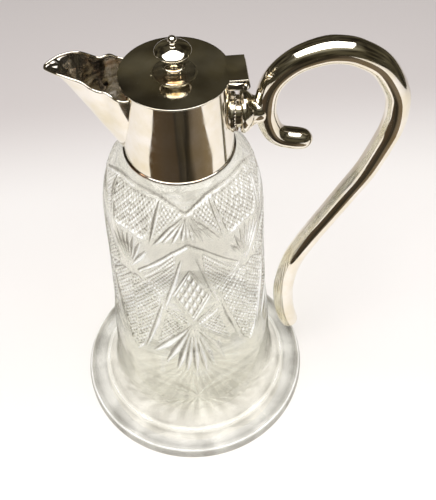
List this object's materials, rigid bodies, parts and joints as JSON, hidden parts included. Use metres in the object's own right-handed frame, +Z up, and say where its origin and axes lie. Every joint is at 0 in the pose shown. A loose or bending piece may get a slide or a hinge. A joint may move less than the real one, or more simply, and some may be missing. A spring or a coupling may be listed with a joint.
{
  "type": "claret jug",
  "caption": "Cut-glass claret jug with a silvered collar, an open pouring spout, a hinged lid with a turned finial and a free-ended whiplash scroll handle.",
  "frame": {"origin": "centre of the foot, on the surface that the jug stands on", "axes": "+Z up along the vessel's axis, +X towards the handle and the hinge, -X towards the spout"},
  "size_m": [0.1863, 0.1462, 0.2744],
  "materials": {
    "cut_glass": "clear lead crystal, cut and polished",
    "silver_plate": "silver plate, hand polished, with fine wear",
    "plaster": "set plaster, matt",
    "brass_fixing": "turned brass, dull"
  },
  "bodies": {
    "jug": {"glass_body": "cut_glass", "plaster_bedding": "plaster", "collar": "silver_plate", "collar_edge_wire": "silver_plate", "spout": "silver_plate", "spout_rim": "silver_plate", "hinge_bracket": "silver_plate", "hinge_pin": "silver_plate", "handle_backplate": "silver_plate", "handle_bead_ring": "silver_plate", "handle_knop": "silver_plate", "handle_ferrule": "silver_plate", "handle_dowel": "brass_fixing", "handle": "silver_plate"},
    "lid": {"lid_plate": "silver_plate", "lid_bezel": "silver_plate", "lid_knuckle": "silver_plate", "lid_boss": "silver_plate", "finial_stem": "silver_plate", "finial_cap": "silver_plate", "finial_ball": "silver_plate", "finial_stud": "brass_fixing", "finial_washer": "brass_fixing", "finial_nut": "brass_fixing"}
  },
  "joints": [
    {"name": "lid_hinge", "type": "hinge", "parent": "jug", "child": "lid", "pos_m": [0.0315, 0, 0.2513], "axis": [0, 1, 0], "range_deg": [0, 105]}
  ]
}
